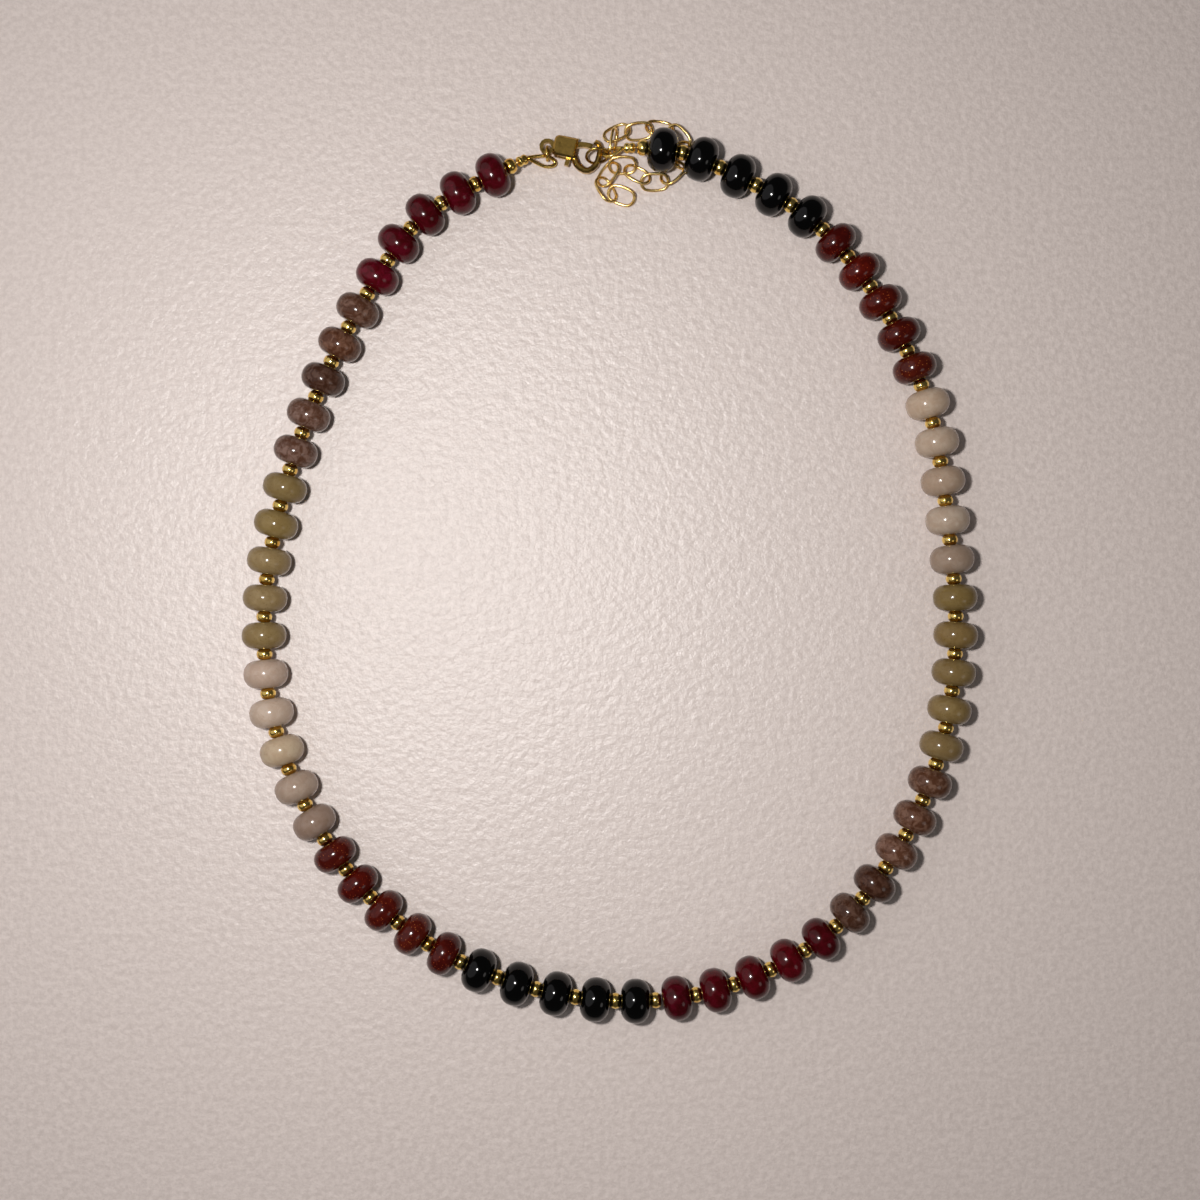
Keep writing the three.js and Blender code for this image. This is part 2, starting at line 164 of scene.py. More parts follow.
FINISHES: dict[Stone, StoneFinish] = {
    Stone.RUBY: StoneFinish(
        "polished_ruby", 5.15, srgb(62, 1, 5), srgb(96, 8, 28), srgb(22, 1, 4),
        srgb(150, 40, 80), 0.5, 0.55, 0.12, 620, 0.1, 0.0,
        ((0.95, 1.0, 0.95), (1.0, 1.0, 1.0), (0.85, 0.8, 0.7), (1.0, 1.0, 1.1), (1.35, 1.6, 1.7),
         (0.8, 0.7, 0.9), (0.95, 0.7, 0.8), (0.95, 0.7, 0.65), (1.15, 0.9, 0.8), (0.8, 0.6, 0.6)),
    ),
    Stone.MAUVE_BROWN: StoneFinish(
        "clouded_mauve_quartz", 5.0, srgb(78, 49, 35), srgb(130, 102, 90), srgb(30, 16, 10),
        srgb(120, 94, 82), 0.62, 0.65, 0.25, 760, 0.09, 0.08,
        ((0.9, 0.85, 0.8), (0.95, 0.82, 0.7), (0.6, 0.55, 0.52), (1.15, 1.2, 1.25),
         (1.1, 1.15, 1.2), (0.68, 0.62, 0.58), (0.5, 0.4, 0.34), (1.2, 1.15, 1.1),
         (0.95, 0.85, 0.75), (1.0, 0.95, 0.85)),
    ),
    Stone.OLIVE: StoneFinish(
        "olive_jade", 4.8, srgb(128, 106, 68), srgb(148, 128, 90), srgb(96, 76, 44),
        srgb(44, 32, 16), 0.45, 0.35, 0.35, 560, 0.09, 0.08,
        ((0.85, 0.85, 0.8), (0.95, 0.95, 0.85), (1.08, 1.1, 1.2), (1.1, 1.12, 1.25),
         (1.0, 1.0, 1.0), (0.87, 0.85, 0.84), (0.9, 0.88, 0.8), (0.82, 0.8, 0.75),
         (0.85, 0.8, 0.7), (0.82, 0.8, 0.66)),
    ),
    Stone.CREAM: StoneFinish(
        "milky_agate", 5.15, srgb(172, 151, 134), srgb(190, 174, 160), srgb(140, 116, 96),
        srgb(110, 88, 70), 0.5, 0.35, 0.08, 520, 0.11, 0.12,
        ((1.0, 0.97, 0.97), (1.05, 1.05, 1.05), (1.0, 0.98, 0.84), (0.85, 0.82, 0.8),
         (0.58, 0.52, 0.5), (0.68, 0.64, 0.6), (0.95, 0.95, 0.92), (0.8, 0.76, 0.7),
         (1.0, 0.98, 0.93), (1.05, 1.02, 0.95)),
    ),
    Stone.RED_BROWN: StoneFinish(
        "mahogany_jasper", 4.75, srgb(64, 9, 4), srgb(90, 22, 10), srgb(28, 3, 2),
        srgb(184, 90, 44), 0.5, 0.55, 0.6, 700, 0.1, 0.0,
        ((1.0, 1.15, 1.2), (0.95, 0.7, 0.7), (1.0, 1.0, 1.0), (1.1, 1.5, 1.6), (0.8, 0.7, 0.8),
         (1.1, 1.6, 1.3), (0.9, 0.9, 0.8), (1.05, 1.0, 0.8), (1.1, 0.75, 0.6), (0.85, 0.5, 0.5)),
    ),
    Stone.BLACK: StoneFinish(
        "black_onyx", 5.3, srgb(1, 1, 1), srgb(3, 2, 3), srgb(0, 0, 0),
        srgb(30, 28, 30), 0.3, 0.2, 0.0, 500, 0.05, 0.0,
    ),
}


@dataclass(frozen=True)
class GoldFinish:
    """How bright the gold plate is: its colour, its darker tone in random patches and its polish.
    """

    name: str
    body: Colour
    deep: Colour
    roughness: float


BEAD_GOLD = GoldFinish("bright_gold_beads", srgb(250, 216, 122), srgb(220, 168, 66), 0.12)
WIRE_GOLD = GoldFinish("gold_wire", srgb(250, 216, 138), srgb(196, 146, 64), 0.2)
CLASP_GOLD = GoldFinish("cast_gold", srgb(196, 160, 84), srgb(104, 82, 34), 0.2)
THREAD_GOLD = GoldFinish("beading_wire", srgb(190, 160, 100), srgb(140, 110, 60), 0.35)


@dataclass(frozen=True)
class FloorFinish:
    """How the pale surface looks: two broad tones, the tone of its grain and its dull polish."""

    name: str
    tone: Colour
    lighter_tone: Colour
    grain: Colour
    tone_scale: float
    grain_scale: float
    roughness: float
    dent_scale: float
    dent_depth: float


PALE_SURFACE = FloorFinish(
    "pale_surface", srgb(205, 192, 186), srgb(213, 200, 194), srgb(222, 209, 203),
    9.0, 900.0, 0.3, 620.0, 0.0019,
)


@dataclass(frozen=True)
class Lamp:
    """One soft round light: its place and width in metres, its power in watts and its colour."""

    name: str
    place: tuple[float, float, float]
    width: float
    power: float
    colour: tuple[float, float, float]


LAMPS = (
    Lamp("key", (-0.062, 0.012, 0.28), 0.024, 0.66, (1.0, 0.985, 0.965)),
    Lamp("fill", (0.42, -0.26, 0.42), 0.22, 0.16, (1.0, 0.95, 0.92)),
    Lamp("window", (-0.55, 0.16, 0.5), 1.2, 1.6, (0.98, 0.96, 1.0)),
)
SURROUNDINGS_COLOUR = (1.0, 0.97, 0.94, 1.0)
SURROUNDINGS_STRENGTH = 0.06


class NodeTools:
    """Short ways to place and join shader nodes."""

    @staticmethod
    def add(tree: bpy.types.NodeTree, kind: str, **values: object) -> bpy.types.Node:
        """Adds a node and sets its properties.

        Args:
            tree: The node tree that gets the node.
            kind: The node's Blender type name.
            values: Property names and their values.

        Returns:
            The new node.
        """
        node = tree.nodes.new(kind)
        for name, value in values.items():
            setattr(node, name, value)
        return node

    @staticmethod
    def new_group(name: str, inputs: dict[str, tuple[str, object]],
                  outputs: dict[str, str]) -> bpy.types.NodeTree:
        """Makes an empty shader node group with named sockets.

        Args:
            name: The group's name.
            inputs: Socket names, each with its short type and its first value.
            outputs: Socket names, each with its short type.

        Returns:
            The new group.
        """
        group = bpy.data.node_groups.new(name, "ShaderNodeTree")
        for label, (kind, value) in inputs.items():
            socket = group.interface.new_socket(
                name=label, in_out="INPUT", socket_type="NodeSocket" + kind)
            if value is not None:
                socket.default_value = value
        for label, kind in outputs.items():
            group.interface.new_socket(
                name=label, in_out="OUTPUT", socket_type="NodeSocket" + kind)
        NodeTools.add(group, "NodeGroupInput", name="in")
        NodeTools.add(group, "NodeGroupOutput", name="out")
        return group

    @staticmethod
    def mix(tree: bpy.types.NodeTree, factor: object, first: object, second: object,
            blend: str = "MIX") -> bpy.types.NodeSocket:
        """Mixes two colours.

        Args:
            tree: The node tree that gets the node.
            factor: A socket or a number for the share of the second colour.
            first: A socket or a colour.
            second: A socket or a colour.
            blend: How the colours are mixed.

        Returns:
            The mixed colour's socket.
        """
        node = NodeTools.add(tree, "ShaderNodeMix", data_type="RGBA", blend_type=blend)
        for index, value in ((0, factor), (6, first), (7, second)):
            if isinstance(value, bpy.types.NodeSocket):
                tree.links.new(value, node.inputs[index])
            else:
                node.inputs[index].default_value = value
        return node.outputs[2]

    @staticmethod
    def ramp(tree: bpy.types.NodeTree, value: bpy.types.NodeSocket, low: float,
             high: float) -> bpy.types.NodeSocket:
        """A value spread from 0 at low to 1 at high, as a socket."""
        node = NodeTools.add(tree, "ShaderNodeMapRange", interpolation_type="SMOOTHSTEP")
        node.inputs["From Min"].default_value = low
        node.inputs["From Max"].default_value = high
        tree.links.new(value, node.inputs["Value"])
        return node.outputs["Result"]

    @staticmethod
    def noise(tree: bpy.types.NodeTree, place: bpy.types.NodeSocket,
              scale: float | bpy.types.NodeSocket, detail: float = 3.0,
              roughness: float = 0.55, warp: float = 0.0) -> bpy.types.NodeSocket:
        """A cloud pattern.

        Args:
            tree: The node tree that gets the node.
            place: The coordinates that it reads.
            scale: Its scale as a number or a socket.
            detail: How many finer layers it has.
            roughness: How strong the finer layers are.
            warp: How far the pattern is bent.

        Returns:
            The pattern's value socket.
        """
        node = NodeTools.add(tree, "ShaderNodeTexNoise")
        tree.links.new(place, node.inputs["Vector"])
        if isinstance(scale, bpy.types.NodeSocket):
            tree.links.new(scale, node.inputs["Scale"])
        else:
            node.inputs["Scale"].default_value = scale
        node.inputs["Detail"].default_value = detail
        node.inputs["Roughness"].default_value = roughness
        node.inputs["Distortion"].default_value = warp
        return node.outputs["Fac"]


class Workshop:
    """Builds the node groups once and the materials from them.

    A spread gives both ends of a ramp, and marks give their scale and their depth in metres.
    """

    CLOUD_SPREAD = (0.4, 0.66)
    VEIN_SCALE = 900.0
    VEIN_SPREAD = (0.56, 0.72)
    FLECK_SCALE = 1900.0
    FLECK_SPREAD = (0.22, 0.1)
    DULL_SHARE = 0.1
    MARK_STRENGTH = 0.2
    STONE_MARKS = (700.0, 0.00004)
    STONE_IOR = 1.5
    STONE_SPECULAR = 0.34
    STONE_GLOW_RADIUS = (0.002, 0.0014, 0.001)
    GOLD_TONE_SCALE = 500.0
    GOLD_TONE_SPREAD = (0.45, 0.75)
    GOLD_MARKS = (1400.0, 0.00003)
    GRAIN_SPREAD = (0.36, 0.64)

    def __init__(self) -> None:
        """Makes the two effects that several materials use."""
        self.stone_effect = self._stone_group()
        self.polish_effect = self._polish_group()

    def _stone_group(self) -> bpy.types.NodeTree:
        """The clouds, veins and flecks of a polished stone, as a node group."""
        group = NodeTools.new_group(
            "StoneClouds",
            {
                "Body": ("Color", (0.5, 0.5, 0.5, 1)), "Cloud": ("Color", (0.7, 0.7, 0.7, 1)),
                "Vein": ("Color", (0.2, 0.2, 0.2, 1)), "Fleck": ("Color", (0.1, 0.1, 0.1, 1)),
                "Cloud Amount": ("Float", 0.5), "Vein Amount": ("Float", 0.3),
                "Fleck Amount": ("Float", 0.0), "Scale": ("Float", 250.0),
            },
            {"Color": "Color"},
        )
        given = group.nodes["in"].outputs
        place = NodeTools.add(group, "ShaderNodeTexCoord").outputs["Object"]
        clouds = NodeTools.noise(group, place, given["Scale"], 4, 0.6, 0.6)
        cloud_mask = NodeTools.ramp(group, clouds, *self.CLOUD_SPREAD)
        veins = NodeTools.noise(group, place, self.VEIN_SCALE, 5, 0.65, 1.4)
        vein_mask = NodeTools.ramp(group, veins, *self.VEIN_SPREAD)
        fleck_cells = NodeTools.add(group, "ShaderNodeTexVoronoi")
        fleck_cells.inputs["Scale"].default_value = self.FLECK_SCALE
        group.links.new(place, fleck_cells.inputs["Vector"])
        fleck_mask = NodeTools.ramp(group, fleck_cells.outputs["Distance"], *self.FLECK_SPREAD)

        def scaled(mask: bpy.types.NodeSocket, layer: str) -> bpy.types.NodeSocket:
            """A mask times the amount of its layer."""
            node = NodeTools.add(group, "ShaderNodeMath", operation="MULTIPLY")
            group.links.new(mask, node.inputs[0])
            group.links.new(given[layer + " Amount"], node.inputs[1])
            return node.outputs[0]

        colour = given["Body"]
        for mask, layer in ((cloud_mask, "Cloud"), (vein_mask, "Vein"), (fleck_mask, "Fleck")):
            colour = NodeTools.mix(group, scaled(mask, layer), colour, given[layer])
        tint = NodeTools.add(group, "ShaderNodeAttribute", attribute_name="tint")
        colour = NodeTools.mix(group, 1.0, colour, tint.outputs["Color"], "MULTIPLY")
        group.links.new(colour, group.nodes["out"].inputs["Color"])
        return group

    def _polish_group(self) -> bpy.types.NodeTree:
        """Fine polishing marks as a roughness and a height, as a node group."""
        group = NodeTools.new_group(
            "PolishMarks",
            {"Roughness": ("Float", 0.1), "Scale": ("Float", 900.0)},
            {"Roughness": "Float", "Height": "Float"},
        )
        given = group.nodes["in"].outputs
        place = NodeTools.add(group, "ShaderNodeTexCoord").outputs["Object"]
        marks = NodeTools.noise(group, place, given["Scale"], 5, 0.6)
        spread = NodeTools.add(group, "ShaderNodeMath", operation="MULTIPLY_ADD")
        group.links.new(marks, spread.inputs[0])
        spread.inputs[1].default_value = self.DULL_SHARE
        group.links.new(given["Roughness"], spread.inputs[2])
        group.links.new(spread.outputs[0], group.nodes["out"].inputs["Roughness"])
        group.links.new(marks, group.nodes["out"].inputs["Height"])
        return group

    def _start(self, name: str) -> tuple[bpy.types.Material, bpy.types.NodeTree, bpy.types.Node]:
        """An empty material with its surface shader.

        Args:
            name: The material's name.

        Returns:
            The material, its node tree and its Principled shader.
        """
        material = bpy.data.materials.new(name)
        material.use_nodes = True
        tree = material.node_tree
        return material, tree, tree.nodes["Principled BSDF"]

    def _polish(self, tree: bpy.types.NodeTree, shader: bpy.types.Node, roughness: float,
                scale: float, depth: float) -> None:
        """Gives a shader its polishing marks.

        Args:
            tree: The material's node tree.
            shader: The Principled shader.
            roughness: The least roughness.
            scale: The scale of the marks.
            depth: How far the marks stand out, in metres.
        """
        marks = NodeTools.add(tree, "ShaderNodeGroup", node_tree=self.polish_effect)
        marks.inputs["Roughness"].default_value = roughness
        marks.inputs["Scale"].default_value = scale
        bump = NodeTools.add(tree, "ShaderNodeBump")
        bump.inputs["Strength"].default_value = self.MARK_STRENGTH
        bump.inputs["Distance"].default_value = depth
        tree.links.new(marks.outputs["Roughness"], shader.inputs["Roughness"])
        tree.links.new(marks.outputs["Height"], bump.inputs["Height"])
        tree.links.new(bump.outputs["Normal"], shader.inputs["Normal"])

    def stone(self, finish: StoneFinish) -> bpy.types.Material:
        """The material of one stone."""
        material, tree, shader = self._start(finish.name)
        clouds = NodeTools.add(tree, "ShaderNodeGroup", node_tree=self.stone_effect)
        for label, value in (
            ("Body", finish.body), ("Cloud", finish.cloud), ("Vein", finish.vein),
            ("Fleck", finish.fleck), ("Cloud Amount", finish.cloud_amount),
            ("Vein Amount", finish.vein_amount), ("Fleck Amount", finish.fleck_amount),
            ("Scale", finish.cloud_scale),
        ):
            clouds.inputs[label].default_value = value
        tree.links.new(clouds.outputs["Color"], shader.inputs["Base Color"])
        self._polish(tree, shader, finish.roughness, *self.STONE_MARKS)
        shader.inputs["IOR"].default_value = self.STONE_IOR
        shader.inputs["Specular IOR Level"].default_value = self.STONE_SPECULAR
        if finish.translucency:
            shader.inputs["Subsurface Weight"].default_value = finish.translucency
            shader.inputs["Subsurface Radius"].default_value = self.STONE_GLOW_RADIUS
            shader.inputs["Subsurface Scale"].default_value = 1.0
        return material

    def gold(self, finish: GoldFinish) -> bpy.types.Material:
        """The material of one gold finish."""
        material, tree, shader = self._start(finish.name)
        place = NodeTools.add(tree, "ShaderNodeTexCoord").outputs["Object"]
        patches = NodeTools.noise(tree, place, self.GOLD_TONE_SCALE, 3, 0.5)
        tone = NodeTools.ramp(tree, patches, *self.GOLD_TONE_SPREAD)
        colour = NodeTools.mix(tree, tone, finish.body, finish.deep)
        tree.links.new(colour, shader.inputs["Base Color"])
        shader.inputs["Metallic"].default_value = 1.0
        self._polish(tree, shader, finish.roughness, *self.GOLD_MARKS)
        return material

    def floor(self, finish: FloorFinish) -> bpy.types.Material:
        """The material of the plain pale surface with its leathery grain."""
        material, tree, shader = self._start(finish.name)
        place = NodeTools.add(tree, "ShaderNodeTexCoord").outputs["Object"]
        tone = NodeTools.noise(tree, place, finish.tone_scale, 4, 0.5)
        colour = NodeTools.mix(tree, tone, finish.tone, finish.lighter_tone)
        specks = NodeTools.noise(tree, place, finish.grain_scale, 4, 0.7)
        grain = NodeTools.ramp(tree, specks, *self.GRAIN_SPREAD)
        colour = NodeTools.mix(tree, grain, colour, finish.grain)
        tree.links.new(colour, shader.inputs["Base Color"])
        self._polish(tree, shader, finish.roughness, finish.dent_scale, finish.dent_depth)
        return material


class Route:
    """The smooth line that the string lies on, with beads placed by their way along it."""

    SAMPLES = 160

    def __init__(self, points: list[tuple[float, float]], height: float) -> None:
        """Samples the line.

        Args:
            points: The places that it passes through, in millimetres.
            height: How high it lies, in millimetres.
        """
        knots = [Vector((x, y, height)) for x, y in points]
        padded = [2 * knots[0] - knots[1], *knots, 2 * knots[-1] - knots[-2]]
        self.points: list[Vector] = []
        for before, start, end, after in zip(padded, padded[1:], padded[2:], padded[3:]):
            out = start + (end - before) / 6
            back = end - (after - start) / 6
            self.points += interpolate_bezier(start, out, back, end, self.SAMPLES)[:-1]
        self.points.append(knots[-1])
        self.ways = [0.0]
        for first, second in zip(self.points, self.points[1:]):
            self.ways.append(self.ways[-1] + (second - first).length)

    def frame_at(self, way: float) -> tuple[Vector, Vector]:
        """The place and direction of the line.

        Args:
            way: The way along the line, in millimetres.

        Returns:
            The place and the unit direction.
        """
        way = min(max(way, 0.0), self.ways[-1])
        index = min(max(bisect.bisect_right(self.ways, way) - 1, 0), len(self.points) - 2)
        first, second = self.points[index], self.points[index + 1]
        span = self.ways[index + 1] - self.ways[index]
        share = (way - self.ways[index]) / span if span else 0.0
        direction = (self.points[min(index + 2, len(self.points) - 1)]
                     - self.points[max(index - 1, 0)]).normalized()
        return first.lerp(second, share), direction

    def matrix_at(self, way: float, turn: Euler | None = None) -> Matrix:
        """The frame of a bead in metres, whose X runs along the line, with an extra turn."""
        place, along = self.frame_at(way)
        side = Vector((0, 0, 1)).cross(along)
        basis = Matrix((along, side, Vector((0, 0, 1)))).transposed().to_4x4()
        extra = turn.to_matrix().to_4x4() if turn else Matrix()
        return Matrix.Translation(place * MM) @ basis @ extra @ Matrix.Scale(MM, 4)


class Bench:
    """Turns finished meshes and curves into pieces that ride on a body."""

    @staticmethod
    def finish(mesh: bmesh.types.BMesh, name: str, material: bpy.types.Material, slot: str,
               body: str, replaced: list[str]) -> bpy.types.Object:
        """Makes a piece from a built mesh.

        Args:
            mesh: The built mesh, in metres and in place.
            name: The piece's name.
            material: Its material.
            slot: Passed on to declare, which does not use it.
            body: The body that it rides on.
            replaced: The solids that it stands for.

        Returns:
            The new object.
        """
        bmesh.ops.recalc_face_normals(mesh, faces=mesh.faces)
        for face in mesh.faces:
            face.smooth = True
        data = bpy.data.meshes.new(name)
        mesh.to_mesh(data)
        mesh.free()
        piece = bpy.data.objects.new(name, data)
        return Bench.declare(piece, material, slot, body, replaced)

    @staticmethod
    def declare(piece: bpy.types.Object, material: bpy.types.Material, slot: str, body: str,
                replaced: list[str]) -> bpy.types.Object:
        """Dresses a piece and tells the frame about it.

        Args:
            piece: The new object.
            material: Its material.
            slot: Not used.
            body: The body that it rides on.
            replaced: The solids that it stands for.

        Returns:
            The same object.
        """
        bpy.context.scene.collection.objects.link(piece)
        piece.data.materials.append(material)
        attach(piece, body)
        if replaced:
            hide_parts(*replaced)
        LOG.info("piece %s on %s", piece.name, body)
        return piece

    @staticmethod
    def turned(profile: list[tuple[float, float]], steps: int) -> bmesh.types.BMesh:
        """A shape turned about X from a profile of (along, radius) that starts and ends on it.

        Args:
            profile: Points along the axis, each with its radius.
            steps: How many sides the shape has.

        Returns:
            The closed mesh.
        """
        mesh = bmesh.new()
        line = [mesh.verts.new((along, radius, 0.0)) for along, radius in profile]
        edges = [mesh.edges.new(pair) for pair in zip(line, line[1:])]
        bmesh.ops.spin(mesh, geom=line + edges, cent=(0, 0, 0), axis=(1, 0, 0),
                       angle=2 * math.pi, steps=steps, use_merge=True)
        bmesh.ops.remove_doubles(mesh, verts=mesh.verts, dist=WELD_DISTANCE_MM)
        bmesh.ops.recalc_face_normals(mesh, faces=mesh.faces)
        return mesh


@dataclass
class BeadString:
    """The sixty stones and the gold beads between them."""

    route: Route
    workshop: Workshop
    stone_sides: int = 40
    rim_segments: int = 7
    rim_share: float = 0.93
    hole_diameter: float = 1.1
    hole_depth: float = 0.5
    spin: float = 6.28
    lean_deg: float = 2.5
    shades: tuple[float, float] = (0.95, 1.05)
    seed: int = 7
    stone_ways: list[tuple[Stone, int, float]] = field(default_factory=list)
    spacer_ways: list[tuple[int, float]] = field(default_factory=list)
    length: float = 0.0

    def place(self) -> None:
        """Finds each bead's way along the line, as each bead follows the one before."""
        self.spacer_ways.append((0, SPACER_LENGTH / 2))
        way = SPACER_LENGTH
        for run, stone in enumerate(list(Stone) * 2):
            half = 0 if run < len(Stone) else 1
            if run == len(Stone):
                way += HALVES_GAP
            for _ in range(STONES_PER_RUN):
                thickness = FINISHES[stone].thickness
                self.stone_ways.append((stone, run, way + thickness / 2))
                way += thickness
                self.spacer_ways.append((half, way + SPACER_LENGTH / 2))
                way += SPACER_LENGTH
        self.length = way

    def rondelle(self, thickness: float) -> bmesh.types.BMesh:
        """One stone: a thick disc with a fully rounded rim and a drilled hole, along X.

        Args:
            thickness: Its thickness in millimetres.

        Returns:
            The closed mesh, centred.
        """
        mesh = bmesh.new()
        radius = STONE_DIAMETER / 2
        bmesh.ops.create_cone(mesh, cap_ends=True, segments=self.stone_sides, radius1=radius,
                              radius2=radius, depth=thickness)
        rims = [edge for edge in mesh.edges if len({round(v.co.z, 4) for v in edge.verts}) == 1]
        rounding = thickness / 2 * self.rim_share
        bmesh.ops.bevel(mesh, geom=rims, offset=rounding, offset_type="OFFSET",
                        segments=self.rim_segments, profile=0.5, affect="EDGES", material=-1)
        ends = [face for face in mesh.faces if len(face.verts) == self.stone_sides]
        end_radius = max(vert.co.xy.length for vert in ends[0].verts)
        hole_radius = self.hole_diameter / 2
        bmesh.ops.inset_individual(mesh, faces=ends, thickness=end_radius - hole_radius, depth=0.0)
        ends = [face for face in mesh.faces if len(face.verts) == self.stone_sides]
        for face in ends:
            inward = -self.hole_depth if face.calc_center_median().z > 0 else self.hole_depth
            sunk = bmesh.ops.extrude_discrete_faces(mesh, faces=[face])["faces"][0]
            bmesh.ops.translate(mesh, verts=sunk.verts, vec=(0, 0, inward))
        bmesh.ops.rotate(mesh, verts=mesh.verts, cent=(0, 0, 0),
                         matrix=Matrix.Rotation(math.radians(90), 3, "Y"))
        return mesh

    def spacer(self) -> bmesh.types.BMesh:
        """One gold bead, a ball with flattened ends, along X."""
        half = SPACER_LENGTH / 2
        profile = [(-half, 0.0), (-half, SPACER_HOLE_RADIUS), (-half, SPACER_FACE_RADIUS)]
        profile += [(-half * share, radius) for share, radius in SPACER_CURVE]
        profile.append((0.0, SPACER_DIAMETER / 2))
        profile += [(-along, radius) for along, radius in reversed(profile[:-1])]
        return Bench.turned(profile, SPACER_SIDES)

    @staticmethod
    def copy_into(target: bmesh.types.BMesh, source: bpy.types.Mesh, matrix: Matrix,
                  tint: Colour | None = None) -> None:
        """Adds a moved copy of a mesh to another mesh.

        Args:
            target: The mesh that grows.
            source: The mesh that is copied.
            matrix: Where the copy goes.
            tint: A colour for all its points.
        """
        count = len(target.verts)
        target.from_mesh(source)
        target.verts.ensure_lookup_table()
        new = target.verts[count:]
        bmesh.ops.transform(target, matrix=matrix, verts=new)
        if tint is not None:
            layer = target.verts.layers.float_color["tint"]
            for vert in new:
                vert[layer] = tint

    def build_stones(self) -> None:
        """Makes each run of five like stones one piece."""
        rng = random.Random(self.seed)
        materials = {stone: self.workshop.stone(FINISHES[stone]) for stone in Stone}
        for run in range(2 * len(Stone)):
            stone = list(Stone)[run % len(Stone)]
            finish = FINISHES[stone]
            shape = self.rondelle(finish.thickness)
            template = bpy.data.meshes.new("rondelle")
            shape.to_mesh(template)
            shape.free()
            joined = bmesh.new()
            joined.verts.layers.float_color.new("tint")
            ways = [way for _, its_run, way in self.stone_ways if its_run == run]
            for index, way in enumerate(ways):
                spin = rng.uniform(0, self.spin)
                lean = math.radians(rng.uniform(-1, 1) * self.lean_deg)
                turn = Euler((spin, 0, lean))
                place_in_tints = index + STONES_PER_RUN * (run // len(Stone))
                tone = finish.tints[place_in_tints % len(finish.tints)]
                shade = rng.uniform(*self.shades)
                tint = (tone[0] * shade, tone[1] * shade, tone[2] * shade, 1.0)
                self.copy_into(joined, template, self.route.matrix_at(way, turn), tint)
            bpy.data.meshes.remove(template)
            side = "left" if run < len(Stone) else "right"
            Bench.finish(joined, f"{stone.value}_stones_{side}", materials[stone], "stone",
                         NECKLACE_BODY, ["string_" + side])

    def build_spacers(self) -> None:
        """Makes the gold beads of each half one piece."""
        material = self.workshop.gold(BEAD_GOLD)
        shape = self.spacer()
        template = bpy.data.meshes.new("gold_bead")
        shape.to_mesh(template)
        shape.free()
        for half, side in enumerate(("left", "right")):
            joined = bmesh.new()
            for its_half, way in self.spacer_ways:
                if its_half == half:
                    self.copy_into(joined, template, self.route.matrix_at(way))
            Bench.finish(joined, "gold_beads_" + side, material, "gold", NECKLACE_BODY,
                         ["string_" + side])
        bpy.data.meshes.remove(template)

    def build(self) -> None:
        """Builds the whole string."""
        self.place()
        self.build_stones()
        self.build_spacers()


@dataclass
class WireWork:
    """Round wire bent into closed loops, all in one piece."""

    name: str
    wire: float
    material: bpy.types.Material
    replaced: list[str]
    points_per_loop: int = 32
    rib_depth: float = 0.0
    roundness: int = 3
    loops: list[list[Vector]] = field(default_factory=list)

    def add_loop(self, outline: Callable[[float], tuple[float, float]], place: Vector,
                 heading: float, slope: float, roll: float) -> None:
        """Adds one loop.

        Args:
            outline: Gives the flat place of each share of a turn.
            place: Where the loop's origin lies, in millimetres.
            heading: Its direction on the surface.
            slope: How steeply it falls.
            roll: How far it rolls about its own length.
        """
        turn = Euler((roll, slope, heading), "XYZ").to_matrix()
        count = self.points_per_loop
        flat = [outline(index / count) for index in range(count)]
        self.loops.append([place + turn @ Vector((x, y, 0)) for x, y in flat])

    def build(self) -> bpy.types.Object:
        """Makes the piece as a mesh from its curves."""
        curve = bpy.data.curves.new(self.name + "_line", "CURVE")
        curve.dimensions = "3D"
        curve.bevel_depth = self.wire / 2 * MM
        curve.bevel_resolution = self.roundness
        curve.use_fill_caps = False
        for loop in self.loops:
            spline = curve.splines.new("POLY")
            spline.points.add(len(loop) - 1)
            for index, (point, place) in enumerate(zip(spline.points, loop)):
                point.co = (*(place * MM), 1.0)
                point.radius = 1.0 - self.rib_depth * (index % 2)
            spline.use_cyclic_u = True
        carrier = bpy.data.objects.new(self.name + "_line", curve)
        bpy.context.scene.collection.objects.link(carrier)
        bpy.context.view_layer.update()
        data = bpy.data.meshes.new_from_object(
            carrier.evaluated_get(bpy.context.evaluated_depsgraph_get()))
        bpy.data.objects.remove(carrier)
        data.materials.clear()
        mesh = bmesh.new()
        mesh.from_mesh(data)
        bpy.data.meshes.remove(data)
        bmesh.ops.remove_doubles(mesh, verts=mesh.verts, dist=WELD_DISTANCE_MM * MM)
        return Bench.finish(mesh, self.name, self.material, "gold", NECKLACE_BODY, self.replaced)


def oval(length: float, width: float) -> Callable[[float], tuple[float, float]]:
    """An oval whose length lies along X, measured over the middle of its wire."""
    def at(turn: float) -> tuple[float, float]:
        """The place of a share of the turn."""
        angle = turn * 2 * math.pi
        share = min(max(math.cos(angle) * OVAL_END_SHARPNESS, -1.0), 1.0)
        along = math.cos(angle) * width / 2 + (length - width) / 2 * share
        return (along, math.sin(angle) * width / 2)

    return at


def teardrop(length: float, width: float, neck: float) -> Callable[[float], tuple[float, float]]:
    """A teardrop that runs from its narrow neck at the origin along X to its round end."""
    def at(turn: float) -> tuple[float, float]:
        """The place of a share of the turn."""
        angle = turn * 2 * math.pi
        share = (1 - math.cos(angle)) / 2
        across = neck + (width - neck) * min(1.0, share * LOOP_FLARE)
        return (share * length, -math.sin(angle) * across / 2)

    return at


